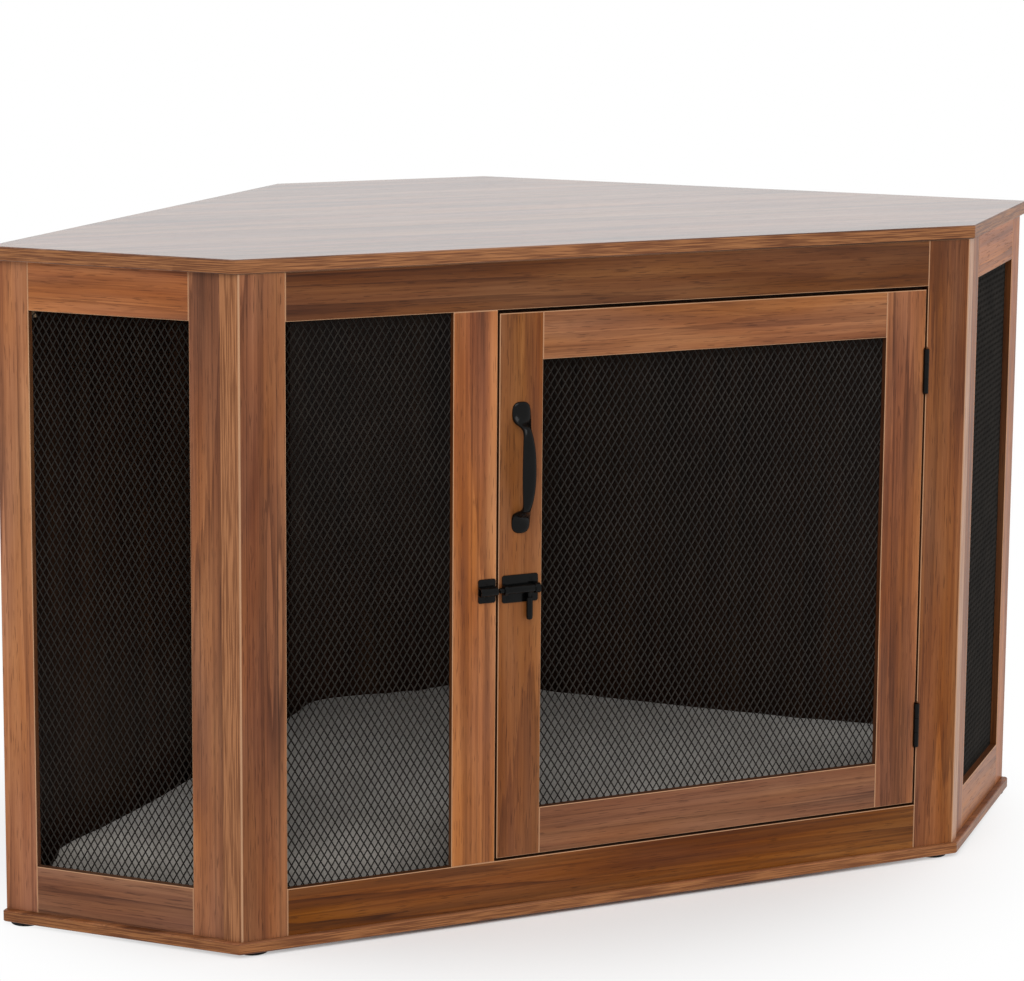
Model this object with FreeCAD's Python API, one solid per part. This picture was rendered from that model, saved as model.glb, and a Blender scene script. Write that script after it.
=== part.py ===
import FreeCAD, Part
import math
import os

from FreeCAD import Vector

# Corner dog house in walnut board: a six-sided plan that backs into a room corner.
# Millimetres, +Z up, the door faces -Y. While modelling, y = 0 is the front face of the front frame.
# save() then moves everything back so that the origin is under the middle of the whole box.

# Heights
overall_height = 730.0
board = 15.0
base_thickness = 12.0
foot_height = 4.0
base_top = foot_height + base_thickness
panel_top = overall_height - board

# Plan of the top and base boards: half widths, and y of the side tips and of the back edge
top_half_width = 635.0
top_front_y = -2.0
top_tip_y = 198.0
top_back_y = 693.0
base_half_width = 633.0
base_front_y = -4.0
base_tip_y = 195.0
base_back_y = 690.0
plan_corner_radius = 4.0
board_edge_ease = 1.0

# Front frame, side frames and walls, all of the same board
front_half_width = 430.0
front_stile = 50.0
hinge_stile = 52.0
rail = 51.0
window_width = 185.0
side_setback = 1.5
side_end = 584.0
side_far_stile = 38.0
back_face_y = 688.0
edge_ease = 0.7
tenon_length = 8.0
tenon_depth = (5.0, 10.0)
tenon_shoulder = 10.0

# Door
door_side_gap = 2.5
door_top_gap = 4.0
door_bottom_gap = 3.0
door_stile = 50.0

# Expanded metal in the windows, drawn at about six times its true pitch
mesh_thickness = 1.6
mesh_strand = 3.2
rebate_depth = 7.0
rebate_lap = 9.0
mesh_lap = 8.0
mesh_cell_width = 49.0
mesh_cell_height = 82.0
mesh_screw_inset = 4.0

# Butt hinges; the play leaves room for the facets of pin and bore to turn
hinge_length = 50.0
hinge_offset = 203.5
hinge_axis_y = -1.5
hinge_leaf = 1.2
hinge_leaf_reach = 12.0
hinge_barrel_radius = 3.1
hinge_knuckles = 3
hinge_sides = 16
hinge_knuckle_gap = 0.3
hinge_clearance = 0.4
hinge_room = 0.6
hinge_room_ends = 0.5
hinge_pin_radius = 1.5
hinge_pin_play = 0.07
hinge_screw_spread = 15.0
hinge_screw_y = 7.3

# Barrel bolt, stored drawn back
bolt_radius = 3.0
bolt_axis_y = -5.0
bolt_play = 0.3
bolt_travel = 26.0
bolt_tip_x = -143.5
bolt_tail_x = -98.0
bolt_tip_ease = 1.2
latch_plate = 1.2
latch_left_x = -138.5
latch_right_x = -97.0
latch_height = 30.0
latch_corner = 2.5
latch_tunnel_wall = 1.3
latch_left_band = 4.0
latch_right_band = 6.0
latch_band_rise = 0.9
latch_screw_x = (-131.5, -104.5)
latch_screw_rise = 10.3
knob_x = -108.4
knob_radius = 3.5
knob_neck_radius = 2.3
knob_shoulder_drop = 9.0
knob_tip_drop = 34.0
knob_tip_radius = 2.1
knob_tip_length = 2.0
keeper_left_x = -166.0
keeper_right_x = -146.0
keeper_height = 26.0
keeper_play = 0.8
keeper_screw_rise = 9.0

# Bow handle
handle_length = 141.0
handle_centre_z = 495.0
handle_foot_width = 21.0
handle_foot_length = 25.0
handle_foot_thickness = 4.0
handle_neck = 8.0
handle_waist = 14.0
handle_stand = 25.0
handle_grip = 5.0
handle_inner_half = 44.0
handle_outer_half = 49.0

# Feet, corner blocks, screws and dowels; these small round pieces are faceted
foot_radius = 17.0
foot_sides = 24
foot_places = {
    "front_left": (-413.0, 17.0), "front_right": (413.0, 17.0),
    "tip_left": (-606.0, 195.0), "tip_right": (606.0, 195.0),
    "back_left": (-126.0, 668.0), "back_right": (126.0, 668.0)}
block_leg = 24.0
block_height = 60.0
head_sides = 6
shank_sides = 4
# Each screw: head radius, head height or depth, shank radius, length from its seat
mesh_screw = (3.4, 1.6, 1.4, 6.0)
handle_screw = (4.0, 2.4, 2.0, board + 3.0)
hinge_screw = (2.5, hinge_leaf, 1.3, 15.0)
latch_screw = (2.3, latch_plate, 1.3, 13.0)
base_screw = (4.0, 2.5, 1.8, base_thickness + 24.0)
dowel_radius = 4.0
dowel_sides = 6
dowel_in_panel = 12.0
dowel_in_top = 8.0

# Loose pad: clearance from the walls, drawn-in sides, and the sections of its crown
pad_clearance = 8.0
pad_drawn_in = 7.0
pad_sections = ((0.0, 9.0), (32.0, 0.0), (64.0, 12.0), (74.0, 110.0))

root2 = math.sqrt(2.0)
side_normal = front_half_width / root2 - side_setback
side_near = side_normal + board * root2
side_window_far = side_end - side_far_stile
side_window_near = side_window_far - window_width
wall_inner = side_end - board
back_half_width = (side_end + side_setback) * root2 - back_face_y
back_inner_y = back_face_y - board
opening_low = base_top + rail
opening_high = panel_top - rail
window_left = front_stile - front_half_width
window_right = window_left + window_width
doorway_left = window_right + front_stile
doorway_right = front_half_width - hinge_stile
door_left = doorway_left + door_side_gap
door_right = doorway_right - door_side_gap
door_low = opening_low + door_bottom_gap
door_high = opening_high - door_top_gap
door_centre_z = (door_low + door_high) / 2.0
door_window = (door_left + door_stile, door_right - door_stile, door_low + rail, door_high - rail)
front_window = (window_left, window_right, opening_low, opening_high)
side_window = (side_window_near, side_window_far, opening_low, opening_high)
mesh_front = board - rebate_depth
hinge_axis_x = (door_right + doorway_right) / 2.0
handle_x = door_left + door_stile / 2.0
origin_y = (top_back_y - handle_stand) / 2.0
Z_AXIS = Vector(0, 0, 1)


def save(name, shape):
    moved = shape.copy()
    moved.translate(Vector(0, -origin_y, 0))
    moved.exportStep("parts/" + name + ".step")


def mirrored(shape):
    return shape.mirror(Vector(0, 0, 0), Vector(1, 0, 0))


def save_pair(name, right_shape):
    # One side panel or wall and its mirror image
    save("right_" + name, right_shape)
    save("left_" + name, mirrored(right_shape))


def box(x_low, x_high, y_low, y_high, z_low, z_high):
    return Part.makeBox(x_high - x_low, y_high - y_low, z_high - z_low, Vector(x_low, y_low, z_low))


def prism(outline, low, high):
    return flat_face([Vector(x, y, low) for x, y in outline]).extrude(Vector(0, 0, high - low))


def edges_where(shape, test):
    return [edge for edge in shape.Edges if all(test(vertex.Point) for vertex in edge.Vertexes)]


def cut_by(shape, tools):
    return shape.cut(Part.makeCompound(list(tools))) if tools else shape


def plan_point(normal, along):
    # Right-hand side, from the distance out from the 45 degree side panel and the distance along it
    return ((normal + along) / root2, (along - normal) / root2)


def on_right_side(shape):
    # From panel coordinates (along, depth, height) to the 45 degree side panel on the right
    placed = shape.copy()
    placed.translate(Vector(0, -side_normal, 0))
    placed.rotate(Vector(0, 0, 0), Z_AXIS, 45)
    return placed


def flat_face(corners):
    return Part.Face(Part.makePolygon(corners + corners[:1]))


def ring(radius, z, sides):
    angles = [2.0 * math.pi * (index + 0.5) / sides for index in range(sides)]
    return [Vector(radius * math.cos(angle), radius * math.sin(angle), z) for angle in angles]


def faceted_rod(radius, low, high, sides):
    return flat_face(ring(radius, low, sides)).extrude(Z_AXIS * (high - low))


def faceted_cone(low_radius, high_radius, low, high, sides):
    lower = ring(low_radius, low, sides)
    upper = ring(high_radius, high, sides)
    faces = [flat_face(lower[::-1]), flat_face(upper)]
    for index in range(sides):
        faces.append(flat_face([lower[index - 1], lower[index], upper[index], upper[index - 1]]))
    return Part.Solid(Part.Shell(faces))


def pointed(shape, place, direction):
    # Moves a piece made upright at the origin to its place, pointing the given way
    shape.Placement = FreeCAD.Placement(place, FreeCAD.Rotation(Z_AXIS, direction))
    return shape


def pan_screw(seat, direction, head_radius, head_height, shank_radius, shank_length):
    head = faceted_rod(head_radius, -head_height, 0, head_sides)
    return pointed(head.fuse(faceted_rod(shank_radius, 0, shank_length, shank_sides)), seat, direction)


def flush_screw(face, direction, head_radius, head_depth, shank_radius, shank_length):
    head = faceted_cone(head_radius, shank_radius, 0, head_depth, head_sides)
    shank = faceted_rod(shank_radius, head_depth, shank_length, head_sides)
    return pointed(head.fuse(shank), face, direction)


def plan_board(half_width, front_y, tip_y, back_y, low, high):
    # Six-sided board: straight front, 45 degree sides, 45 degree backs and a short straight back
    front_half = half_width - (tip_y - front_y)
    back_half = half_width - (back_y - tip_y)
    right = [(front_half, front_y), (half_width, tip_y), (back_half, back_y)]
    outline = right + [(-x, y) for x, y in reversed(right)]
    plate = prism(outline, low, high)
    upright = [edge for edge in plate.Edges if abs(edge.Vertexes[0].Z - edge.Vertexes[1].Z) > 1.0]
    plate = plate.makeFillet(plan_corner_radius, upright)
    flat = [edge for edge in plate.Edges if abs(edge.Vertexes[0].Z - edge.Vertexes[-1].Z) < 0.01]
    return plate.makeChamfer(board_edge_ease, flat)


def member(outline, low, high):
    # Stile or rail with its show face at depth 0 and that face's edges eased
    block = prism(outline, low, high)
    return block.makeChamfer(edge_ease, edges_where(block, lambda point: abs(point.y) < 0.01))


def straight_member(left, right, low, high):
    return member([(left, 0), (right, 0), (right, board), (left, board)], low, high)


def rail_tenons(left, right, low, high):
    z_range = (low + tenon_shoulder, high - tenon_shoulder)
    return [box(left - tenon_length, left, *tenon_depth, *z_range),
            box(right, right + tenon_length, *tenon_depth, *z_range)]


def stile_tenons(left, right, low, high):
    x_range = (left + tenon_shoulder, right - tenon_shoulder)
    return [box(*x_range, *tenon_depth, low - tenon_length, low),
            box(*x_range, *tenon_depth, high, high + tenon_length)]


def with_tenons(shape, tenons):
    return shape.multiFuse(tenons).removeSplitter()


def mesh_rebate(window):
    left, right, low, high = window
    x_range = (left - rebate_lap, right + rebate_lap)
    return box(*x_range, mesh_front, board + 1.0, low - rebate_lap, high + rebate_lap)


def diamond_hole(centre_x, centre_z, half_width, half_height, window):
    # One gap of the expanded metal, or the half of it that lies inside the window
    left, right, low, high = window
    corners = []
    for dx, dz in ((half_width, 0), (0, half_height), (-half_width, 0), (0, -half_height)):
        x = min(max(centre_x + dx, left), right)
        z = min(max(centre_z + dz, low), high)
        corners.append(Vector(x, mesh_front, z))
    apart = [a for a, b in zip(corners, corners[1:] + corners[:1]) if a.distanceToPoint(b) > 0.01]
    return Part.makePolygon(apart + apart[:1])


def mesh_sheet(window, screws):
    # Rim under the rebate and a diamond lattice that divides the window evenly, as one holed face
    left, right, low, high = window
    columns = round((right - left) / mesh_cell_width)
    rows = round((high - low) / mesh_cell_height)
    cell_width = (right - left) / columns
    cell_height = (high - low) / rows
    slant = math.hypot(cell_width, cell_height) / 2.0
    half_width = cell_width / 2.0 - mesh_strand * slant / cell_height
    half_height = cell_height / 2.0 - mesh_strand * slant / cell_width
    corners = [(left - mesh_lap, low - mesh_lap), (right + mesh_lap, low - mesh_lap),
               (right + mesh_lap, high + mesh_lap), (left - mesh_lap, high + mesh_lap)]
    rim = [Vector(x, mesh_front, z) for x, z in corners]
    wires = [Part.makePolygon(rim + rim[:1])]
    for step in range(2 * rows + 1):
        whole = step % 2
        for column in range(columns + (0 if whole else 1)):
            corner = step in (0, 2 * rows) and column in (0, columns) and not whole
            if not corner:
                x = left + (column + 0.5 * whole) * cell_width
                z = low + 0.5 * step * cell_height
                wires.append(diamond_hole(x, z, half_width, half_height, window))
    sheet = Part.makeFace(wires, "Part::FaceMakerBullseye").extrude(Vector(0, mesh_thickness, 0))
    return cut_by(sheet, screws)


def mesh_screws(window, per_side):
    # Round-head screws along the rim, driven from inside into the frame
    left, right, low, high = window
    places = []
    for index in range(per_side):
        z = low + (high - low) * (index + 0.5) / per_side
        places += [(left - mesh_screw_inset, z), (right + mesh_screw_inset, z)]
    seat_y = mesh_front + mesh_thickness
    inward = Vector(0, -1, 0)
    return [pan_screw(Vector(x, seat_y, z), inward, *mesh_screw) for x, z in places]


def front_frame():
    front_x = (window_left, doorway_right)
    top = (*front_x, opening_high, panel_top)
    bottom = (*front_x, base_top, opening_low)
    centre = (window_right, doorway_left, opening_low, opening_high)
    outer = front_half_width
    left_outline = [(-outer, 0), (window_left, 0), (window_left, board), (-outer - board, board)]
    right_outline = [(doorway_right, 0), (outer, 0), (outer + board, board), (doorway_right, board)]
    ends = rail_tenons(*top) + rail_tenons(*bottom)
    posts = stile_tenons(*centre)
    return {
        "front_left_stile": member(left_outline, base_top, panel_top).cut(Part.makeCompound(ends)),
        "front_right_stile": member(right_outline, base_top, panel_top).cut(Part.makeCompound(ends)),
        "front_centre_stile": with_tenons(straight_member(*centre), posts),
        "front_top_rail": with_tenons(straight_member(*top), rail_tenons(*top)).cut(posts[1]),
        "front_bottom_rail": with_tenons(straight_member(*bottom), rail_tenons(*bottom)).cut(posts[0])}


def side_frame():
    # In panel coordinates; the near stile is mitred to sit flat behind the front frame
    span = (side_window_near, side_window_far)
    near_outline = [(side_near, 0), (span[0], 0), (span[0], board), (side_near - board, board)]
    top = (*span, opening_high, panel_top)
    bottom = (*span, base_top, opening_low)
    ends = Part.makeCompound(rail_tenons(*top) + rail_tenons(*bottom))
    return {
        "side_near_stile": member(near_outline, base_top, panel_top).cut(ends),
        "side_far_stile": straight_member(side_window_far, side_end, base_top, panel_top).cut(ends),
        "side_top_rail": with_tenons(straight_member(*top), rail_tenons(*top)),
        "side_bottom_rail": with_tenons(straight_member(*bottom), rail_tenons(*bottom))}


def door_frame():
    left, right, low, high = door_window
    top = (left, right, high, door_high)
    bottom = (left, right, door_low, low)
    ends = Part.makeCompound(rail_tenons(*top) + rail_tenons(*bottom))
    return {
        "door_latch_stile": straight_member(door_left, left, door_low, door_high).cut(ends),
        "door_hinge_stile": straight_member(right, door_right, door_low, door_high).cut(ends),
        "door_top_rail": with_tenons(straight_member(*top), rail_tenons(*top)),
        "door_bottom_rail": with_tenons(straight_member(*bottom), rail_tenons(*bottom))}


def walls():
    inner_normal = side_normal - board
    outer_sum = side_end * root2
    inner_sum = wall_inner * root2
    slant = [plan_point(inner_normal, wall_inner), plan_point(inner_normal, side_end),
             (outer_sum - back_inner_y, back_inner_y), (inner_sum - back_inner_y, back_inner_y)]
    straight = [(-back_half_width, back_face_y), (back_half_width, back_face_y),
                (back_half_width + board, back_inner_y), (-back_half_width - board, back_inner_y)]
    return prism(slant, base_top, panel_top), prism(straight, base_top, panel_top)


def hinge_tools(centre_z):
    # Barrel-wide cylinder with tapered ends, cleared out of both edges beside the barrel
    radius = hinge_barrel_radius + hinge_room
    half = hinge_length / 2.0 + hinge_room_ends
    low = Vector(hinge_axis_x, hinge_axis_y, centre_z - half)
    high = Vector(hinge_axis_x, hinge_axis_y, centre_z + half)
    barrel = Part.makeCylinder(radius, 2.0 * half, low)
    taper_up = Part.makeCone(radius, 0, radius, high)
    taper_down = Part.makeCone(radius, 0, radius, low, Z_AXIS * -1)
    return barrel.multiFuse([taper_up, taper_down])


def hinge(centre_z):
    # Two leaves with interleaved knuckles; the pin is tight in the frame leaf and runs in the door leaf
    low = centre_z - hinge_length / 2.0
    axis_low = Vector(hinge_axis_x, hinge_axis_y, low)
    pitch = (hinge_length + hinge_knuckle_gap) / hinge_knuckles
    knuckle = pitch - hinge_knuckle_gap
    leaf_start = hinge_axis_y + hinge_barrel_radius + hinge_clearance
    leaves = {}
    for side, x_range, first, play in (("frame", (doorway_right - hinge_leaf, doorway_right), 0, 0.0),
                                       ("door", (door_right, door_right + hinge_leaf), 1, hinge_pin_play)):
        leaf = box(*x_range, leaf_start, hinge_leaf_reach, low, low + hinge_length)
        for index in range(first, hinge_knuckles, 2):
            rise = index * pitch
            tongue = box(*x_range, hinge_axis_y, leaf_start, low + rise, low + rise + knuckle)
            barrel = faceted_rod(hinge_barrel_radius, rise, rise + knuckle, hinge_sides)
            leaf = leaf.multiFuse([tongue, pointed(barrel, axis_low, Z_AXIS)])
        bore = pointed(faceted_rod(hinge_pin_radius + play, 0, hinge_length, hinge_sides), axis_low, Z_AXIS)
        leaves[side] = leaf.cut(bore).removeSplitter()
    return leaves, pointed(faceted_rod(hinge_pin_radius, 0, hinge_length, hinge_sides), axis_low, Z_AXIS)


def hinge_screws(centre_z):
    screws = {"frame": [], "door": []}
    for side, face_x, direction in (("frame", doorway_right - hinge_leaf, Vector(1, 0, 0)),
                                    ("door", door_right + hinge_leaf, Vector(-1, 0, 0))):
        for offset in (-hinge_screw_spread, hinge_screw_spread):
            face = Vector(face_x, hinge_screw_y, centre_z + offset)
            screws[side].append(flush_screw(face, direction, *hinge_screw))
    return screws


def tunnel(left, right, radius):
    # Casing over the bolt with a half-round crown, flat at the back
    def at(y, dz):
        return Vector(left, y, door_centre_z + dz)
    sides = [Part.LineSegment(at(0, -radius), at(bolt_axis_y, -radius)),
             Part.Arc(at(bolt_axis_y, -radius), at(bolt_axis_y - radius, 0), at(bolt_axis_y, radius)),
             Part.LineSegment(at(bolt_axis_y, radius), at(0, radius)),
             Part.LineSegment(at(0, radius), at(0, -radius))]
    profile = Part.Face(Part.Wire([curve.toShape() for curve in sides]))
    return profile.extrude(Vector(right - left, 0, 0))


def latch_housing(screws):
    half = latch_height / 2.0
    plate = box(latch_left_x, latch_right_x, -latch_plate, 0, door_centre_z - half, door_centre_z + half)
    corners = [edge for edge in plate.Edges if abs(edge.Vertexes[0].Y - edge.Vertexes[1].Y) > 0.5]
    plate = plate.makeChamfer(latch_corner, corners)
    inner = bolt_radius + bolt_play
    outer = inner + latch_tunnel_wall
    bands = [tunnel(latch_left_x, latch_left_x + latch_left_band, outer + latch_band_rise),
             tunnel(latch_right_x - latch_right_band, latch_right_x, outer + latch_band_rise)]
    body = plate.multiFuse([tunnel(latch_left_x, latch_right_x, outer)] + bands)
    bore_start = Vector(latch_left_x - 1.0, bolt_axis_y, door_centre_z)
    bore = Part.makeCylinder(inner, latch_right_x - latch_left_x + 2.0, bore_start, Vector(1, 0, 0))
    slot_half = knob_neck_radius + bolt_play
    slot = box(knob_x - bolt_travel - slot_half, knob_x + slot_half, bolt_axis_y - slot_half,
               bolt_axis_y + slot_half, door_centre_z - 2.0 * outer, door_centre_z)
    return cut_by(body.cut(bore).cut(slot).removeSplitter(), screws)


def latch_screws():
    forward = Vector(0, 1, 0)
    heights = (door_centre_z - latch_screw_rise, door_centre_z + latch_screw_rise)
    places = [Vector(x, -latch_plate, z) for x in latch_screw_x for z in heights]
    return [flush_screw(place, forward, *latch_screw) for place in places]


def bolt_rod():
    length = bolt_tail_x - bolt_tip_x
    tip = Vector(bolt_tip_x, bolt_axis_y, door_centre_z)
    rod = Part.makeCylinder(bolt_radius, length, tip, Vector(1, 0, 0))
    return rod.makeChamfer(bolt_tip_ease, edges_where(rod, lambda point: abs(point.x - bolt_tip_x) < 0.01))


def bolt_knob(rod):
    # Turned knob on a thin neck, hanging from the bolt through the slot
    shoulder = -knob_shoulder_drop
    tip = -knob_tip_drop
    outline = [(0, 0), (knob_neck_radius, 0), (knob_neck_radius, shoulder), (knob_radius, shoulder),
               (knob_radius, tip + knob_tip_length), (knob_tip_radius, tip), (0, tip)]
    corners = [Vector(knob_x + radius, bolt_axis_y, door_centre_z + drop) for radius, drop in outline]
    return flat_face(corners).revolve(Vector(knob_x, bolt_axis_y, 0), Z_AXIS, 360).cut(rod)


def latch_keeper(screws):
    # Strap bent over the bolt's path, with a flange above and below
    half = keeper_height / 2.0
    inner = bolt_radius + keeper_play
    outer = inner + latch_plate
    flange = box(keeper_left_x, keeper_right_x, -latch_plate, 0, door_centre_z - half, door_centre_z + half)
    corners = [edge for edge in flange.Edges if abs(edge.Vertexes[0].Y - edge.Vertexes[1].Y) > 0.5]
    flange = flange.makeChamfer(latch_corner, corners)
    strap = flange.fuse(tunnel(keeper_left_x, keeper_right_x, outer))
    path = tunnel(keeper_left_x - 1.0, keeper_right_x + 1.0, inner)
    return cut_by(strap.cut(path).removeSplitter(), screws)


def keeper_screws():
    x = (keeper_left_x + keeper_right_x) / 2.0
    faces = [Vector(x, -latch_plate, door_centre_z + sign * keeper_screw_rise) for sign in (-1, 1)]
    return [flush_screw(face, Vector(0, 1, 0), *latch_screw) for face in faces]


def handle(screws):
    # Side view of a bow on two feet, cut to its front outline: round feet, thin necks, leaf-shaped grip
    half = handle_length / 2.0
    outer_apex = -handle_stand
    inner_apex = handle_grip - handle_stand
    thick = -handle_foot_thickness

    def at(y, z):
        return Vector(handle_x - handle_foot_width, y, handle_centre_z + z)
    sides = [Part.LineSegment(at(0, -handle_inner_half), at(0, -half)),
             Part.LineSegment(at(0, -half), at(thick, -half)),
             Part.LineSegment(at(thick, -half), at(thick, -handle_outer_half)),
             Part.Arc(at(thick, -handle_outer_half), at(outer_apex, 0), at(thick, handle_outer_half)),
             Part.LineSegment(at(thick, handle_outer_half), at(thick, half)),
             Part.LineSegment(at(thick, half), at(0, half)),
             Part.LineSegment(at(0, half), at(0, handle_inner_half)),
             Part.Arc(at(0, handle_inner_half), at(inner_apex, 0), at(0, -handle_inner_half))]
    side_view = Part.Face(Part.Wire([curve.toShape() for curve in sides]))
    bow = side_view.extrude(Vector(2 * handle_foot_width, 0, 0))
    foot_radius_x = handle_foot_width / 2.0
    reach = Vector(0, handle_stand + 1.0, 0)
    pads = []
    for sign in (-1, 1):
        for z in (half - foot_radius_x, half - handle_foot_length + foot_radius_x):
            start = Vector(handle_x, -handle_stand - 0.5, handle_centre_z + sign * z)
            pads.append(Part.makeCylinder(foot_radius_x, reach.Length, start, Vector(0, 1, 0)))

    def front(x, z):
        return Vector(handle_x + x, -handle_stand - 0.5, handle_centre_z + z)
    neck = handle_neck / 2.0
    waist = handle_waist / 2.0
    end = half - handle_foot_length / 2.0
    leaf_sides = [Part.Arc(front(neck, -end), front(waist, 0), front(neck, end)),
                  Part.LineSegment(front(neck, end), front(-neck, end)),
                  Part.Arc(front(-neck, end), front(-waist, 0), front(-neck, -end)),
                  Part.LineSegment(front(-neck, -end), front(neck, -end))]
    leaf = Part.Face(Part.Wire([curve.toShape() for curve in leaf_sides])).extrude(reach)
    return cut_by(bow.common(leaf.multiFuse(pads)).removeSplitter(), screws)


def handle_screws():
    feet = (handle_length - handle_foot_length) / 2.0
    outward = Vector(0, -1, 0)
    seats = [Vector(handle_x, board, handle_centre_z + sign * feet) for sign in (-1, 1)]
    return [pan_screw(seat, outward, *handle_screw) for seat in seats]


def corner_block(corner, first, second):
    # Glued three-cornered block in one inner corner, under the top
    plan = [corner, corner + first * block_leg, corner + second * block_leg]
    return prism([(point.x, point.y) for point in plan], panel_top - block_height, panel_top)


def corner_blocks():
    turn = 1.0 / root2
    inner_normal = side_normal - board
    front_corner = Vector(inner_normal * root2 + board, board, 0)
    tip_corner = Vector(*plan_point(inner_normal, wall_inner), 0)
    back_corner = Vector(wall_inner * root2 - back_inner_y, back_inner_y, 0)
    left = Vector(-1, 0, 0)
    right = [corner_block(front_corner, left, Vector(turn, turn, 0)),
             corner_block(tip_corner, Vector(-turn, -turn, 0), Vector(-turn, turn, 0)),
             corner_block(back_corner, Vector(turn, -turn, 0), left)]
    return right + [mirrored(block) for block in right]


def panel_places(front_x, side_along, wall_normal, back_x):
    # Plan places in the middle of the boards, both sides
    middle = board / 2.0
    right = [plan_point(side_normal - middle, along) for along in side_along]
    right += [plan_point(normal, side_end - middle) for normal in wall_normal]
    places = right + [(-x, y) for x, y in right]
    places += [(x, middle) for x in front_x]
    return places + [(x, back_face_y - middle) for x in back_x]


def base_screws():
    places = panel_places((-310, -20, 270), (453,), (170, -250), (0,))
    return [flush_screw(Vector(x, y, foot_height), Z_AXIS, *base_screw) for x, y in places]


def top_dowels():
    places = panel_places((-290, 0, 250), (453,), (150, -230), (40,))
    low = panel_top - dowel_in_panel
    dowel = faceted_rod(dowel_radius, 0, dowel_in_panel + dowel_in_top, dowel_sides)
    return [pointed(dowel.copy(), Vector(x, y, low), Z_AXIS) for x, y in places]


def pad_outline(inset, height):
    # The room's plan drawn in by the clearance and the inset, each side an arc that pulls in
    gap = pad_clearance + inset
    slant = gap * root2
    side_diff = (side_normal - board) * root2 - slant
    wall_sum = wall_inner * root2 - slant
    front_y = board + gap
    back_y = back_inner_y - gap
    right = [(front_y + side_diff, front_y), ((side_diff + wall_sum) / 2.0, (wall_sum - side_diff) / 2.0),
             (wall_sum - back_y, back_y)]
    z = base_top + height
    corners = [Vector(x, y, z) for x, y in right + [(-x, y) for x, y in reversed(right)]]
    sides = []
    for start, end in zip(corners, corners[1:] + corners[:1]):
        along = end - start
        inward = Vector(-along.y, along.x, 0) / along.Length
        middle = (start + end) / 2.0 + inward * (pad_drawn_in * along.Length / 500.0)
        sides.append(Part.Arc(start, middle, end).toShape())
    return Part.Wire(sides)


def floor_pad():
    return Part.makeLoft([pad_outline(inset, height) for height, inset in pad_sections], True, True)


def build():
    os.makedirs("parts", exist_ok=True)
    dowels = top_dowels()
    floor_screws = base_screws()
    front_mesh_screws = mesh_screws(front_window, 2)
    side_mesh_screws = mesh_screws(side_window, 2)
    door_mesh_screws = mesh_screws(door_window, 2)
    hinges = {"upper": door_centre_z + hinge_offset, "lower": door_centre_z - hinge_offset}
    leaf_screws = {level: hinge_screws(centre_z) for level, centre_z in hinges.items()}
    frame_leaf_screws = [screw for level in hinges for screw in leaf_screws[level]["frame"]]
    door_leaf_screws = [screw for level in hinges for screw in leaf_screws[level]["door"]]
    hinge_rooms = [hinge_tools(centre_z) for centre_z in hinges.values()]
    bolt_screws = latch_screws()
    strike_screws = keeper_screws()
    pull_screws = handle_screws()
    panel_holes = dowels + floor_screws

    top = plan_board(top_half_width, top_front_y, top_tip_y, top_back_y, panel_top, overall_height)
    base = plan_board(base_half_width, base_front_y, base_tip_y, base_back_y, foot_height, base_top)
    save("top_board", cut_by(top, dowels))
    save("base_board", cut_by(base, floor_screws))

    front_holes = panel_holes + front_mesh_screws + frame_leaf_screws + hinge_rooms + strike_screws
    for name, shape in front_frame().items():
        save(name, cut_by(shape.cut(mesh_rebate(front_window)), front_holes))
    for name, shape in side_frame().items():
        fitted = on_right_side(cut_by(shape.cut(mesh_rebate(side_window)), side_mesh_screws))
        save_pair(name, cut_by(fitted, panel_holes))
    slant_wall, straight_wall = walls()
    save_pair("back_wall", cut_by(slant_wall, panel_holes))
    save("centre_back_wall", cut_by(straight_wall, panel_holes))
    door_holes = door_mesh_screws + door_leaf_screws + hinge_rooms + bolt_screws + pull_screws
    for name, shape in door_frame().items():
        save(name, cut_by(shape.cut(mesh_rebate(door_window)), door_holes))

    save("front_window_mesh", mesh_sheet(front_window, front_mesh_screws))
    save("door_mesh", mesh_sheet(door_window, door_mesh_screws))
    save_pair("side_mesh", on_right_side(mesh_sheet(side_window, side_mesh_screws)))
    right_mesh_screws = [on_right_side(screw) for screw in side_mesh_screws]
    left_mesh_screws = [mirrored(screw) for screw in right_mesh_screws]
    save("window_mesh_screws", Part.makeCompound(front_mesh_screws + right_mesh_screws + left_mesh_screws))
    save("door_mesh_screws", Part.makeCompound(door_mesh_screws))

    for level, centre_z in hinges.items():
        leaves, pin = hinge(centre_z)
        for side, leaf in leaves.items():
            save(level + "_hinge_" + side + "_leaf", cut_by(leaf, leaf_screws[level][side]))
        save(level + "_hinge_pin", pin)
    save("frame_hinge_screws", Part.makeCompound(frame_leaf_screws))
    save("door_hinge_screws", Part.makeCompound(door_leaf_screws))

    rod = bolt_rod()
    save("latch_housing", latch_housing(bolt_screws))
    save("latch_screws", Part.makeCompound(bolt_screws))
    save("latch_bolt", rod)
    save("latch_knob", bolt_knob(rod))
    save("latch_keeper", latch_keeper(strike_screws))
    save("keeper_screws", Part.makeCompound(strike_screws))
    save("door_handle", handle(pull_screws))
    save("handle_screws", Part.makeCompound(pull_screws))

    for name, place in foot_places.items():
        disc = faceted_rod(foot_radius, 0, foot_height, foot_sides)
        save("foot_" + name, pointed(disc, Vector(*place, 0), Z_AXIS))
    save("floor_pad", floor_pad())
    save("corner_blocks", Part.makeCompound(corner_blocks()))
    save("base_screws", Part.makeCompound(floor_screws))
    save("top_dowels", Part.makeCompound(dowels))


build()
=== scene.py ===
import math

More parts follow.
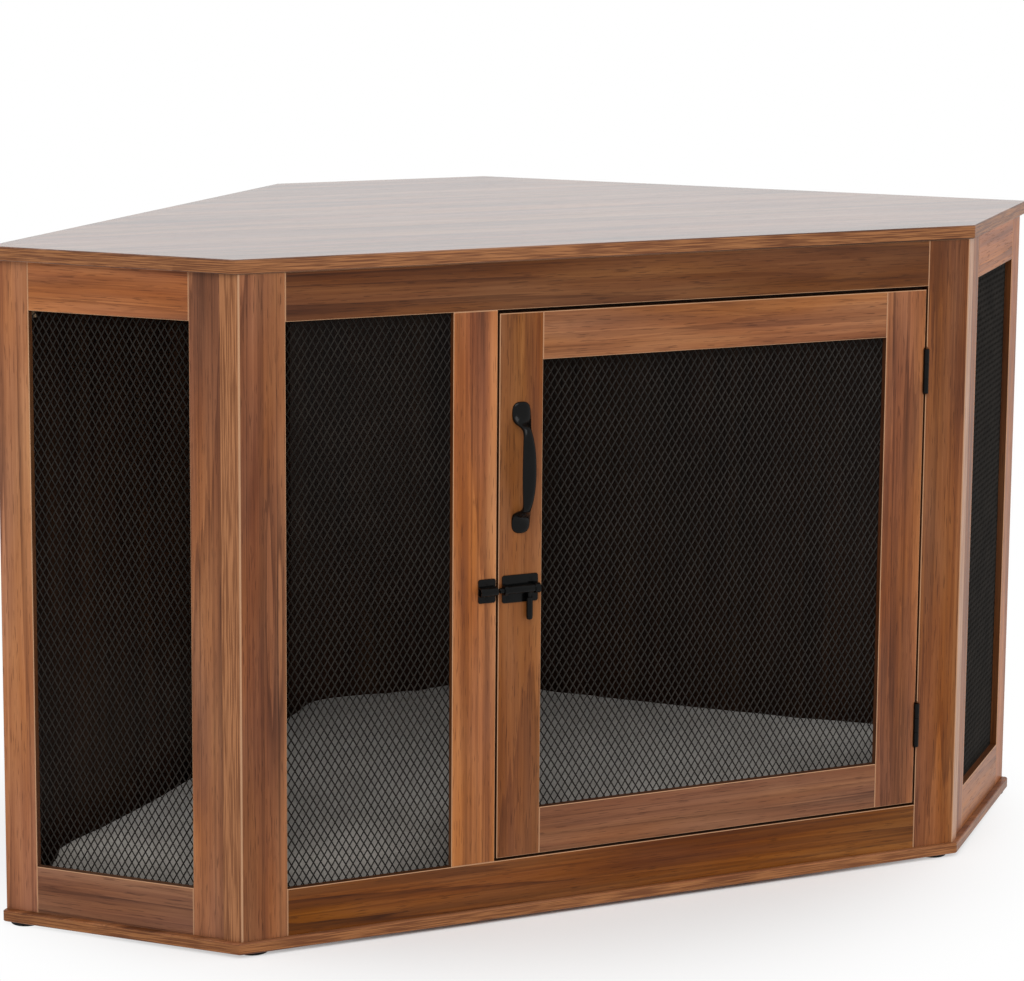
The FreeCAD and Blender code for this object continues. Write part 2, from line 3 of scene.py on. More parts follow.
import bmesh
import bpy
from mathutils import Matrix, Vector


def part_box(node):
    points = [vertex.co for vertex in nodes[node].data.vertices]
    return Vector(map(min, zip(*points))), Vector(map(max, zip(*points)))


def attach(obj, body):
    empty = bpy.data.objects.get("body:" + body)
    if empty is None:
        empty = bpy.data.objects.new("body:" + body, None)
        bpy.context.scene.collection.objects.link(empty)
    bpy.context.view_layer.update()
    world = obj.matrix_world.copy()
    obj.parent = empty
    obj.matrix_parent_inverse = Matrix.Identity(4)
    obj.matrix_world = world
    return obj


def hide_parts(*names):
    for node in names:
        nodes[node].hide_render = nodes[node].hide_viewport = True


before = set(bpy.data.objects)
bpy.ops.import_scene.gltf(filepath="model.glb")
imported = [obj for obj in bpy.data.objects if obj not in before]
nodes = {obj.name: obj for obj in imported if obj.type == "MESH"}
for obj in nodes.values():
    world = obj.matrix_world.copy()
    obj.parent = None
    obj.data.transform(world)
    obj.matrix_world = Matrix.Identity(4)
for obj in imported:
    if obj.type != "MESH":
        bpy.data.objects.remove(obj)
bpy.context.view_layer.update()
print("frame loaded:", len(nodes), "nodes")


# small helpers for working by hand

def clearSelection():
    if bpy.context.mode != "OBJECT":
        bpy.ops.object.mode_set(mode="OBJECT")
    bpy.ops.object.select_all(action="DESELECT")


def activate(piece):
    clearSelection()
    piece.select_set(True)
    bpy.context.view_layer.objects.active = piece


def called(name):
    piece = bpy.context.active_object
    piece.name = name
    piece.data.name = name
    return piece


def applyPlace(piece):
    activate(piece)
    bpy.ops.object.transform_apply(location=True, rotation=True, scale=True)
    return piece


def edit(piece, selectMode="FACE"):
    activate(piece)
    bpy.ops.object.mode_set(mode="EDIT")
    bpy.ops.mesh.select_mode(type=selectMode)


def pickEdges(piece, accept):
    mesh = bmesh.from_edit_mesh(piece.data)
    for edge in mesh.edges:
        edge.select_set(False)
    for edge in mesh.edges:
        if accept(edge.verts[0].co, edge.verts[1].co):
            edge.select_set(True)
    bmesh.update_edit_mesh(piece.data)


def applyModifier(piece, kind, **settings):
    activate(piece)
    modifier = piece.modifiers.new(kind.lower(), kind)
    for key, value in settings.items():
        setattr(modifier, key, value)
    bpy.ops.object.modifier_apply(modifier=modifier.name)


def smooth(piece, angle=35):
    activate(piece)
    bpy.ops.object.shade_smooth_by_angle(angle=math.radians(angle))


def joined(name, pieces):
    activate(pieces[0])
    for piece in pieces:
        piece.select_set(True)
    if len(pieces) > 1:
        bpy.ops.object.join()
    return called(name)


def seat(piece, body, slotName, finish, *replaced):
    applyPlace(piece)
    piece.data.materials.clear()
    piece.data.materials.append(finish)
    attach(piece, body)
    if replaced:
        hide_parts(*replaced)
    return piece


# shader maths: one socket with operators

class Socket:
    def __init__(self, tree, link):
        self.tree = tree
        self.link = link

    def node(self, kind, settings, inputs, output=0):
        made = self.tree.nodes.new(kind)
        for key, value in settings.items():
            if key == "stops":
                ramp = made.color_ramp
                for place, _ in value[2:]:
                    ramp.elements.new(place)
                for element, (place, colour) in zip(ramp.elements, sorted(value)):
                    element.position = place
                    element.color = (*colour, 1.0)
            else:
                setattr(made, key, value)
        for key, value in inputs.items():
            if isinstance(key, int):
                target = made.inputs[key]
            else:
                target = next(s for s in made.inputs if s.enabled and s.name == key)
            if isinstance(value, Socket):
                self.tree.links.new(value.link, target)
            else:
                target.default_value = value
        if isinstance(output, str):
            return Socket(self.tree, made.outputs[output])
        return Socket(self.tree, [s for s in made.outputs if s.enabled][output])

    def maths(self, operation, *values):
        return self.node("ShaderNodeMath", {"operation": operation}, dict(enumerate(values)))

    def __add__(self, other):
        return self.maths("ADD", self, other)

    __radd__ = __add__

    def __mul__(self, other):
        return self.maths("MULTIPLY", self, other)

    __rmul__ = __mul__

    def __sub__(self, other):
        return self.maths("SUBTRACT", self, other)

    def __rsub__(self, other):
        return self.maths("SUBTRACT", other, self)

    def __pow__(self, other):
        return self.maths("POWER", self, other)

    def clamped(self, low, high):
        # 0 below low, 1 above high, smooth between
        settings = {"interpolation_type": "SMOOTHSTEP"}
        return self.node("ShaderNodeMapRange", settings, {"Value": self, "From Min": low, "From Max": high})

    def noise(self, scale, detail=2.0, roughness=0.5, distortion=0.0):
        inputs = {"Vector": self, "Scale": scale, "Detail": detail,
                  "Roughness": roughness, "Distortion": distortion}
        return self.node("ShaderNodeTexNoise", {}, inputs)

    def placed(self, location=(0, 0, 0), turn=(0, 0, 0), scale=(1, 1, 1)):
        inputs = {"Vector": self, "Location": location, "Rotation": turn, "Scale": scale}
        return self.node("ShaderNodeMapping", {}, inputs)

    def ramp(self, *stops):
        return self.node("ShaderNodeValToRGB", {"stops": stops}, {"Fac": self})

    def blend(self, first, second):
        settings = {"data_type": "RGBA", "blend_type": "MIX"}
        return self.node("ShaderNodeMix", settings, {"Factor": self, "A": first, "B": second})

    def towards(self, direction):
        # how far a normal points a given way, 1 for straight on
        settings = {"operation": "DOT_PRODUCT"}
        return self.node("ShaderNodeVectorMath", settings, {0: self, 1: direction}, "Value")

    def bump(self, strength, distance):
        return self.node("ShaderNodeBump", {}, {"Strength": strength, "Distance": distance, "Height": self})

    def into(self, shader, name):
        self.tree.links.new(self.link, shader.inputs[name])


def newFinish(name, constants):
    finish = bpy.data.materials.new(name)
    finish.use_nodes = True
    shader = finish.node_tree.nodes["Principled BSDF"]
    for key, value in constants.items():
        shader.inputs[key].default_value = value
    start = Socket(finish.node_tree, None)
    coords = start.node("ShaderNodeTexCoord", {}, {}, "Object")
    normal = start.node("ShaderNodeTexCoord", {}, {}, "Normal")
    return finish, shader, coords, normal


# walnut foil on board

walnut = {
    # shades of the foil, darkest first
    "dark": (0.050, 0.016, 0.007), "brown": (0.150, 0.050, 0.020),
    "warm": (0.232, 0.084, 0.032), "pale": (0.36, 0.150, 0.060),
    # chamfered edges (painted highlight, partly the board's lighter core), sides of the openings (painted
    # shade), inner faces of the walls (painted shade) and how far those are dimmed
    "edge": (0.52, 0.30, 0.17), "revealShade": (0.026, 0.0085, 0.0032),
    "inside": (0.0065, 0.0045, 0.0033), "insideShade": 0.88,
    "rings": 9.0, "redPatches": 0.02, "greyPatches": 0.3,
    "roughness": 0.36, "shine": 0.14, "lacquer": 0.9, "lacquerRoughness": 0.24,
    # banded edges of the top and base: dim and bright stripes
    "banding": ((0.13, 0.044, 0.016), (0.32, 0.132, 0.047)),
    # slanted ends of two stiles: side, dim and bright stripes; and the corner they share with the front
    "ends": {"front_left_stile": ("left", (0.17, 0.064, 0.026), (0.36, 0.155, 0.066)),
             # the right end's stripes are paler than the left's: painted light falling from the right
             "front_right_stile": ("right", (0.30, 0.152, 0.086), (0.51, 0.285, 0.178))},
    "corner": (0.430, 0.334),
    # how far each layer of the figure is drawn out along the grain
    "stretch": {"drawn": 0.06, "fine": 0.012, "dashes": 0.045, "smoke": 0.22, "thread": 0.006, "patch": 0.12},
    # how much each layer counts, in the tone and then in the dark lines
    "tone": {"broad": 0.80, "smoke": 0.46, "fibre": 0.30, "hair": 0.20, "rings": 0.08, "base": 0.34},
    "lines": {"late": 0.72, "streak": 0.26, "thread": 0.34, "specks": 0.5},
    # how strongly edges (painted highlight, partly core), reveals (painted shade), banding and stile ends take
    # their own colour
    "cover": {"eased": 0.75, "revealShade": 0.72, "banding": 0.85, "ends": 0.85, "corner": 0.7},
}
up = (0, math.radians(90), 0)
across = (0, 0, 0)
acrossRight = (0, 0, math.radians(-45))
acrossLeft = (0, 0, math.radians(45))
facing = {"front": (0, -1, 0), "right": (0.7071, -0.7071, 0), "left": (-0.7071, -0.7071, 0)}

# board: grain, face, light level, colour strength, streak strength, seed; level and strength are mostly painted
# light and shade (top rail darker under the top's overhang, right side paler in light from the right), partly
# random tone between boards
boards = {
    "front_left_stile": (up, "front", 0.90, 1, 1, 3.1),
    "front_right_stile": (up, "front", 0.85, 1.05, 0.6, 7.7),
    "front_centre_stile": (up, "front", 1.21, 1.04, 0.9, 1.9),
    "front_top_rail": (across, "front", 0.47, 1.06, 0.8, 5.3),
    "front_bottom_rail": (across, "front", 0.63, 1.12, 0.9, 9.2),
    "door_latch_stile": (up, "front", 0.80, 1.05, 0.5, 4.4),
    "door_hinge_stile": (up, "front", 1.15, 1, 0.8, 6.6),
    "door_top_rail": (across, "front", 0.97, 1, 0.6, 2.6),
    "door_bottom_rail": (across, "front", 0.75, 0.95, 0.7, 8.5),
    "left_side_near_stile": (up, "left", 1.19, 0.97, 1, 11.2),
    "left_side_far_stile": (up, "left", 1.36, 0.97, 0.9, 12.9),
    "left_side_top_rail": (acrossLeft, "left", 1.42, 1.02, 0.7, 14.4),
    "left_side_bottom_rail": (acrossLeft, "left", 0.98, 0.9, 0.5, 15.8),
    "right_side_near_stile": (up, "right", 1.2, 1, 0.8, 17.3),
    "right_side_far_stile": (up, "right", 1.5, 1.06, 0.7, 18.6),
    "right_side_top_rail": (acrossRight, "right", 1.7, 1.07, 0.7, 20.1),
    "right_side_bottom_rail": (acrossRight, "right", 1.1, 1.05, 0.7, 21.7),
    "left_back_wall": (up, "wall", 0.9, 0.95, 0.8, 23.4),
    "right_back_wall": (up, "wall", 0.9, 0.95, 0.8, 25.1),
    "centre_back_wall": (up, "wall", 0.9, 0.95, 0.8, 26.9),
    "top_board": (across, "lacquered", 0.86, 0.80, 0.7, 28.3),
    "base_board": (across, "flat", 1.0, 1.0, 0.8, 30.6),
}


def walnutFinish(name, grain, face, level, strength, streaks, seed):
    constants = {"IOR": 1.5, "Specular IOR Level": walnut["shine"]}
    finish, shader, coords, normal = newFinish("walnut_" + name, constants)
    board = coords.placed((seed, seed * 0.37, seed * 0.61), grain)
    drawn, fine, dashes, smoky, threaded, patches = [board.placed(scale=(along, 1.0, 1.0))
                                                     for along in walnut["stretch"].values()]
    weight, line, cover = walnut["tone"], walnut["lines"], walnut["cover"]
    dark, edge = (*walnut["dark"], 1.0), (*walnut["edge"], 1.0)
    # growth rings are contour lines of a field that is stretched along the grain
    field = drawn.noise(10.0, 1.5, 0.45, 0.3)
    apart = [board.node("ShaderNodeSeparateXYZ", {}, {"Vector": board}, axis) for axis in ("Y", "Z")]
    ripple = fine.noise(140.0, 2.0, 0.5)
    turns = field * walnut["rings"] + (apart[0] + apart[1]) * 30.0 + ripple * 0.8
    phase = turns.maths("FRACT", turns)
    chosen = drawn.noise(31.0, 1.0).clamped(0.42, 0.60)
    late = phase ** 7.0 * (1 - phase.clamped(0.95, 1.0)) * (0.25 + chosen)
    broad = drawn.noise(24.0, 2.0, 0.5, 0.4)
    smoke = smoky.noise(17.0, 3.0, 0.55, 0.5)
    fibre = fine.noise(380.0, 3.0, 0.6)
    hair = fine.noise(1200.0, 2.0, 0.6)
    tone = (broad * weight["broad"] + smoke * weight["smoke"] + fibre * weight["fibre"] + hair * weight["hair"]
            - phase * weight["rings"] - weight["base"])
    colour = tone.ramp((0.20, walnut["dark"]), (0.38, walnut["brown"]),
                       (0.52, walnut["warm"]), (0.76, walnut["pale"]))
    # long dark threads: one level of a slow noise, thin where it is steep
    slow = threaded.noise(58.0, 1.0, 0.4) - 0.5
    thread = 1 - slow.maths("ABSOLUTE", slow).clamped(0.008, 0.040)
    streak = fine.noise(75.0, 2.0, 0.5).clamped(0.58, 0.72)
    strokes = (late * line["late"] + streak * line["streak"] + thread * line["thread"]) * streaks
    colour = strokes.blend(colour, dark)
    specks = dashes.noise(900.0, 1.0).clamped(0.61, 0.68) * line["specks"]
    colour = specks.blend(colour, dark)
    # long patches that lean to red or to grey
    red, grey = walnut["redPatches"], walnut["greyPatches"]
    hue = 0.5 + red * 0.5 - patches.noise(19.0, 2.0, 0.5) * red
    purity = patches.noise(27.0, 2.0, 0.5) * grey + (strength - grey * 0.5)
    # Value and the strength part of Saturation: each board's painted light and shade, partly random tone
    shift = {"Color": colour, "Hue": hue, "Saturation": purity, "Value": level}
    colour = colour.node("ShaderNodeHueSaturation", {}, shift)
    if face in facing:
        # painted highlight on the chamfered edges, partly the board's lighter core; painted shade on the edges
        # round an opening
        toFace = normal.towards(facing[face])
        eased = toFace.clamped(0.66, 0.70) * (1 - toFace.clamped(0.72, 0.76))
        openingShade = 1 - (toFace * toFace).clamped(0.04, 0.16)
        if name in walnut["ends"]:
            # slanted end of the stile: fine upright stripes, and a painted highlight down the corner, partly
            # the lighter core
            side, dim, bright = walnut["ends"][name]
            ends = normal.towards(facing[side]).clamped(0.95, 0.98)
            stripes = coords.placed(scale=(1.0, 1.0, 0.02)).noise(700.0, 2.0, 0.6).clamped(0.40, 0.60)
            colour = (ends * cover["ends"]).blend(colour, stripes.ramp((0.0, dim), (1.0, bright)))
            fromAxis = coords.node("ShaderNodeVectorMath", {"operation": "ABSOLUTE"}, {0: coords}, "Vector")
            cornerX, cornerY = walnut["corner"]
            fromCorner = fromAxis.placed((-cornerX, -cornerY, 0)).placed(scale=(1, 1, 0))
            length = {"operation": "LENGTH"}
            reach = fromCorner.node("ShaderNodeVectorMath", length, {0: fromCorner}, "Value")
            # painted highlight down the corner, partly the lighter core
            colour = ((1 - reach.clamped(0.0007, 0.0016)) * cover["corner"]).blend(colour, edge)
            eased = eased * (1 - ends)
        # painted highlight along the chamfered edges, partly the lighter core
        colour = (eased * cover["eased"]).blend(colour, edge)
        # painted shade on the faces round an opening
        colour = (openingShade * cover["revealShade"]).blend(colour, (*walnut["revealShade"], 1.0))
    if face == "wall":
        # painted shade: the inner faces darkened for the dim inside of the house
        inner = normal.towards(facing["front"]).clamped(0.3, 0.5)
        colour = (inner * walnut["insideShade"]).blend(colour, (*walnut["inside"], 1.0))
    if face in ("flat", "lacquered"):
        # banded edges: fine level stripes
        height = normal.node("ShaderNodeSeparateXYZ", {}, {"Vector": normal}, "Z")
        rim = 1 - (height * height).clamped(0.05, 0.2)
        stripes = coords.placed(scale=(0.02, 0.02, 1.0)).noise(900.0, 2.0, 0.6).clamped(0.42, 0.60)
        dim, bright = walnut["banding"]
        colour = (rim * cover["banding"]).blend(colour, stripes.ramp((0.0, dim), (1.0, bright)))
    if face == "lacquered":
        (height.clamped(0.9, 0.98) * walnut["lacquer"]).into(shader, "Coat Weight")
        shader.inputs["Coat Roughness"].default_value = walnut["lacquerRoughness"]
    colour.into(shader, "Base Color")
    rough = fibre * 0.16 + (walnut["roughness"] - 0.08) + specks * 0.2
    rough.into(shader, "Roughness")
    (fibre * 0.6 - specks).bump(0.12, 0.0004).into(shader, "Normal")
    return finish


for boardName, look in boards.items():
    nodes[boardName].data.materials.clear()
    nodes[boardName].data.materials.append(walnutFinish(boardName, *look))
print("walnut on", len(boards), "boards")


# other finishes

def blackFinish(name, colour, roughness, grainScale, grainBump, shine):
    finish, shader, coords, _ = newFinish(name, {"Specular IOR Level": shine})
    dim, bright = [tuple(share * c for c in colour) for share in (0.8, 1.35)]
    coords.noise(35.0, 2.0).ramp((0.3, dim), (0.75, bright)).into(shader, "Base Color")
    coat = coords.noise(grainScale, 2.0, 0.6)
    (coat * 0.16 + (roughness - 0.08)).into(shader, "Roughness")
    coat.bump(grainBump, 0.0002).into(shader, "Normal")
    return finish


def zincFinish():
    finish, shader, coords, _ = newFinish("zincPlate", {"Metallic": 0.9})
    brushed = coords.placed(scale=(1.0, 1.0, 0.2)).noise(900.0, 2.0)
    brushed.ramp((0.3, (0.42, 0.42, 0.43)), (0.7, (0.62, 0.62, 0.63))).into(shader, "Base Color")
    (brushed * 0.2 + 0.25).into(shader, "Roughness")
    brushed.bump(0.08, 0.0002).into(shader, "Normal")
    return finish


def beechFinish():
    finish, shader, coords, _ = newFinish("rawBeech", {})
    grain = coords.placed(scale=(1.0, 1.0, 0.08)).noise(260.0, 3.0, 0.6)
    grain.ramp((0.3, (0.50, 0.34, 0.20)), (0.7, (0.68, 0.50, 0.32))).into(shader, "Base Color")
    (grain * 0.2 + 0.55).into(shader, "Roughness")
    grain.bump(0.15, 0.0003).into(shader, "Normal")
    return finish


def plushFinish():
    finish, shader, coords, _ = newFinish("greyPlush", {"Sheen Weight": 0.35, "Sheen Roughness": 0.5})
    tufts = coords.noise(420.0, 3.0, 0.7)
    nap = coords.noise(18.0, 3.0, 0.6, 0.4)
    weave = coords.noise(1400.0, 2.0, 0.6)
    tone = tufts * 0.45 + nap * 0.35 + weave * 0.25
    tone.ramp((0.32, (0.20, 0.183, 0.162)), (0.52, (0.36, 0.334, 0.300)),
              (0.75, (0.54, 0.507, 0.462))).into(shader, "Base Color")
    (tufts * 0.15 + 0.82).into(shader, "Roughness")
    (tufts * 0.7 + weave * 0.4).bump(0.6, 0.0015).into(shader, "Normal")
    return finish


# colour, roughness, scale and strength of the surface grain, shine
blacks = {
    "meshBlack": ((0.013, 0.0105, 0.0085), 0.42, 900.0, 0.10, 0.12),
    "satinBlack": ((0.0018, 0.0017, 0.0016), 0.18, 1400.0, 0.03, 0.12),
    "footBlack": ((0.010, 0.010, 0.010), 0.62, 1100.0, 0.20, 0.12),
}
meshBlack, satinBlack, footBlack = [blackFinish(name, *look) for name, look in blacks.items()]
zincPlate = zincFinish()
rawBeech = beechFinish()
greyPlush = plushFinish()
for name in ("top_dowels", "corner_blocks"):
    nodes[name].data.materials.clear()
    nodes[name].data.materials.append(rawBeech)
print("finishes made")


# expanded-metal sheets at their true pitch

lattice = {"cellHeight": 0.01347, "strand": 0.00148, "snap": 0.0003}
# sheet: node, body, turn, cell width, half cells across and up
sheets = {
    "frontGrille": ("front_window_mesh", "cabinet", 0, 0.00808, 48, 90),
    "doorGrille": ("door_mesh", "door", 0, 0.00853, 100, 74),
    "leftGrille": ("left_side_mesh", "cabinet", -45, 0.00808, 48, 90),
    "rightGrille": ("right_side_mesh", "cabinet", 45, 0.00808, 48, 90),
}


def diamondSheet(name, node, body, turn, cellWidth, halfColumns, halfRows):
    low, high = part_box(node)
    count = (halfColumns + halfRows) // 2 + 4
    count += count % 2
    clearSelection()
    bpy.ops.mesh.primitive_grid_add(x_subdivisions=count, y_subdivisions=count, size=count / math.sqrt(2.0))
    sheet = called(name)
    sheet.rotation_euler = (0, 0, math.radians(45))
    applyPlace(sheet)
    sheet.scale = (cellWidth, lattice["cellHeight"], 1.0)
    applyPlace(sheet)
    edit(sheet, "VERT")
    reach = {0: halfColumns * cellWidth / 4.0, 1: halfRows * lattice["cellHeight"] / 4.0}
    for axis in (0, 1):
        for sign in (-1, 1):
            side = Vector((0, 0, 0))
            side[axis] = sign
            bpy.ops.mesh.select_all(action="SELECT")
            bpy.ops.mesh.bisect(plane_co=side * reach[axis], plane_no=side, clear_outer=True,
                                threshold=lattice["snap"])
    applyModifier(sheet, "WIREFRAME", thickness=lattice["strand"], use_even_offset=True,
                  use_boundary=True, offset=0.0)
    sheet.rotation_euler = (math.radians(90), 0, math.radians(turn))
    sheet.location = (low + high) / 2.0
    return seat(sheet, body, "mesh_black", meshBlack, node)


for name, settings in sheets.items():
    diamondSheet(name, *settings)


# bars, plates and screws that the fittings are made from

def roundBar(name, radius, start, end, ease, sides=28):
    # turned bar with rounded ends
    along = end - start
    clearSelection()
    bpy.ops.mesh.primitive_cylinder_add(vertices=sides, radius=radius, depth=along.length,
                                        location=(start + end) / 2.0)
    bar = called(name)
    bar.rotation_euler = along.to_track_quat("Z", "Y").to_euler()
    half = along.length / 2.0
    edit(bar, "EDGE")
    pickEdges(bar, lambda a, b: abs(a.z) > half - 1e-6 and abs(b.z) > half - 1e-6 and a.z * b.z > 0)
    bpy.ops.mesh.bevel(offset=ease, segments=3)
    smooth(applyPlace(bar))
    return bar


def plate(name, low, high, corner, ease, normalAxis):
    # flat plate with rounded corners and eased faces
    low, high = Vector(low), Vector(high)
    clearSelection()
    bpy.ops.mesh.primitive_cube_add(size=1.0, location=(low + high) / 2.0)
    sheet = called(name)
    sheet.scale = high - low
    applyPlace(sheet)
    edit(sheet, "EDGE")
    others = [axis for axis in range(3) if axis != normalAxis]
    pickEdges(sheet, lambda a, b: all(abs(a[axis] - b[axis]) < 1e-6 for axis in others))
    bpy.ops.mesh.bevel(offset=corner, segments=5)
    pickEdges(sheet, lambda a, b: abs(a[normalAxis] - b[normalAxis]) < 1e-6)
    bpy.ops.mesh.bevel(offset=ease, segments=2)
    smooth(applyPlace(sheet))
    return sheet


def arch(name, left, right, axisPoint, radius, wall, backY):
    # half-round casing over the bolt, open at both ends
    clearSelection()
    middle = Vector(((left + right) / 2.0, axisPoint[0], axisPoint[1]))
    bpy.ops.mesh.primitive_cylinder_add(vertices=40, radius=radius, depth=right - left,
                                        end_fill_type="NOTHING", location=middle,
                                        rotation=(0, math.radians(90), 0))
    casing = applyPlace(called(name))
    edit(casing, "VERT")
    bpy.ops.mesh.select_all(action="SELECT")
    bpy.ops.mesh.bisect(plane_co=middle, plane_no=(0, 1, 0), clear_outer=True, threshold=0.00005)
    bpy.ops.mesh.select_mode(type="EDGE")
    onSplit = middle.y - 1e-5
    pickEdges(casing, lambda a, b: a.y > onSplit and b.y > onSplit)
    bpy.ops.mesh.extrude_edges_move(TRANSFORM_OT_translate={"value": (0, backY - middle.y, 0)})
    bpy.ops.mesh.select_all(action="SELECT")
    bpy.ops.mesh.normals_make_consistent(inside=False)
    bpy.ops.object.mode_set(mode="OBJECT")
    applyModifier(casing, "SOLIDIFY", thickness=wall, offset=0.0)
    applyModifier(casing, "BEVEL", width=0.00025, segments=2, angle_limit=math.radians(50))
    smooth(casing)
    return casing


# head: dome and depth of the recess as shares of the rise, arms of the cross as shares of the radius
screwHead = {"dome": 0.55, "depth": 0.9, "arms": ((1.25, 0.24), (0.24, 1.25))}


def crossScrew(name, radius, rise):
    # domed head with a cross recess, standing on z = 0
    clearSelection()
    bpy.ops.mesh.primitive_cylinder_add(vertices=24, radius=radius, depth=rise, location=(0, 0, rise / 2.0))
    screw = applyPlace(called(name))
    edit(screw, "EDGE")
    pickEdges(screw, lambda a, b: a.z > rise - 1e-6 and b.z > rise - 1e-6)
    bpy.ops.mesh.bevel(offset=rise * screwHead["dome"], segments=3)
    bpy.ops.object.mode_set(mode="OBJECT")
    for wide, deep in screwHead["arms"]:
        clearSelection()
        bpy.ops.mesh.primitive_cube_add(size=1.0, location=(0, 0, rise))
        cutter = called("recess")
        cutter.scale = (wide * radius, deep * radius, rise * screwHead["depth"])
        applyPlace(cutter)
        applyModifier(screw, "BOOLEAN", operation="DIFFERENCE", object=cutter, solver="EXACT")
        bpy.data.objects.remove(cutter)
    smooth(screw)
    return screw


def screwSet(name, master, places, body, slotName, finish, *replaced):
    # one modelled screw, copied to each place and turned to face outwards
    copies = []
    for place, outward in places:
        activate(master)
        bpy.ops.object.duplicate(linked=False)
        copy = bpy.context.active_object
        copy.location = place
        copy.rotation_euler = Vector(outward).to_track_quat("Z", "Y").to_euler()
        copies.append(applyPlace(copy))
    return seat(joined(name, copies), body, slotName, finish, *replaced)


# bow handle: sections from one end to the other

pull = {
    "x": -0.1175, "z": 0.495, "doorFace": -0.334,
    # in millimetres: height above the middle, half width, distance in front of the door, half depth
    "sections": ((70.5, 2.8, 0.0, 1.2), (70.1, 4.8, 0.0, 2.0), (69.1, 7.1, 0.0, 2.8),
                 (67.3, 8.9, 0.0, 3.3), (64.8, 10.2, 0.0, 3.6), (61.5, 10.7, 0.0, 3.7),
                 (57.5, 10.8, 0.2, 4.0), (53.5, 10.7, 0.9, 5.2), (50.4, 10.3, 2.3, 6.8),
                 (48.0, 9.0, 5.0, 7.6), (46.1, 7.0, 9.0, 7.2), (44.2, 5.4, 13.0, 5.4),
                 (41.6, 4.9, 16.2, 3.9), (37.5, 5.3, 18.4, 3.0), (30.0, 6.5, 20.3, 2.6),
                 (20.0, 7.4, 21.7, 2.5), (10.0, 7.9, 22.3, 2.5), (0.0, 8.0, 22.45, 2.5)),
}


def bowHandle():
    half = pull["sections"]
    stations = list(half) + [(-z, width, out, depth) for z, width, out, depth in reversed(half[:-1])]
    z, width, out, depth = stations[0]
    clearSelection()
    bpy.ops.mesh.primitive_circle_add(vertices=20, radius=0.001, fill_type="NGON")
    handle = called("bowHandle")
    edit(handle, "FACE")
    bpy.ops.mesh.select_all(action="SELECT")
    bpy.ops.transform.resize(value=(width, depth, 1.0))
    bpy.ops.transform.translate(value=(pull["x"], pull["doorFace"] - out / 1000.0, pull["z"] + z / 1000.0))
    for nextZ, nextWidth, nextOut, nextDepth in stations[1:]:
        move = Vector((0, (out - nextOut) / 1000.0, (nextZ - z) / 1000.0))
        bpy.ops.mesh.extrude_region_move(TRANSFORM_OT_translate={"value": move})
        middle = Vector((pull["x"], pull["doorFace"] - nextOut / 1000.0, pull["z"] + nextZ / 1000.0))
        bpy.ops.transform.resize(value=(nextWidth / width, nextDepth / depth, 1.0), center_override=middle)
        z, width, out, depth = nextZ, nextWidth, nextOut, nextDepth
    bpy.ops.mesh.select_all(action="SELECT")
    bpy.ops.mesh.normals_make_consistent(inside=False)
    bpy.ops.object.mode_set(mode="OBJECT")
    applyModifier(handle, "SUBSURF", levels=1, render_levels=1)
    edit(handle, "VERT")
    bpy.ops.mesh.select_all(action="SELECT")
    bpy.ops.mesh.bisect(plane_co=(0, pull["doorFace"], 0), plane_no=(0, 1, 0), clear_outer=True,
                        use_fill=True)
    bpy.ops.object.mode_set(mode="OBJECT")
    smooth(handle, 50)
    return seat(handle, "door", "hardware_black", satinBlack, "door_handle")


bowHandle()
print("handle done")


# barrel bolt

latch = {
    "face": -0.334, "level": 0.365, "axisY": -0.339, "plate": 0.0012, "corner": 0.0025, "ease": 0.00025,
    "left": -0.1385, "right": -0.097, "halfHeight": 0.015,
    "bore": 0.0033, "wall": 0.0013, "rims": (0.004, 0.006), "rimRise": 0.0009,
    "travel": 0.026, "slotHalf": 0.0027, "slotDrop": 0.012,
    "boltTip": -0.1435, "boltTail": -0.098, "boltRadius": 0.003, "boltEase": 0.001,
    "keeperLeft": -0.166, "keeperRight": -0.146, "keeperHalf": 0.013, "keeperBore": 0.0038,
    # knob: drop below the bolt's middle and radius, from the neck down to the tip
    "knobX": -0.1084,
    "knob": ((0.0026, 0.0023), (0.0088, 0.0023), (0.0090, 0.0026), (0.0098, 0.0034), (0.0110, 0.0035),
             (0.0300, 0.0035), (0.0325, 0.0032), (0.0336, 0.0024), (0.0340, 0.0012)),
}


def groundPlate(name, left, right, half):
    face, level = latch["face"], latch["level"]
    return plate(name, (left, face - latch["plate"], level - half), (right, face, level + half),
                 latch["corner"], latch["ease"], 1)


def latchCasing():
    level, left, right = latch["level"], latch["left"], latch["right"]
    axis = (latch["axisY"], level)
    back = latch["face"] - latch["plate"] * 0.5
    ground = groundPlate("latchGround", left, right, latch["halfHeight"])
    middle = latch["bore"] + latch["wall"] / 2.0
    tube = arch("latchTube", left, right, axis, middle, latch["wall"], back)
    clearSelection()
    bpy.ops.mesh.primitive_cube_add(size=1.0)
    slotCut = called("slotCut")
    slotLeft = latch["knobX"] - latch["travel"] - latch["slotHalf"]
    slotRight = latch["knobX"] + latch["slotHalf"]
    slotCut.location = ((slotLeft + slotRight) / 2.0, latch["axisY"], level - latch["slotDrop"] / 2.0)
    slotCut.scale = (slotRight - slotLeft, 2.0 * latch["slotHalf"], latch["slotDrop"])
    applyPlace(slotCut)
    leftRim, rightRim = latch["rims"]
    rims = [arch("latchRim", start, start + width, axis, middle + latch["rimRise"], latch["wall"], back)
            for start, width in ((left, leftRim), (right - rightRim, rightRim))]
    for slotted in (tube, rims[0]):
        applyModifier(slotted, "BOOLEAN", operation="DIFFERENCE", object=slotCut, solver="EXACT")
    bpy.data.objects.remove(slotCut)
    casing = joined("latchCasing", [ground, tube] + rims)
    return seat(casing, "door", "hardware_black", satinBlack, "latch_housing")


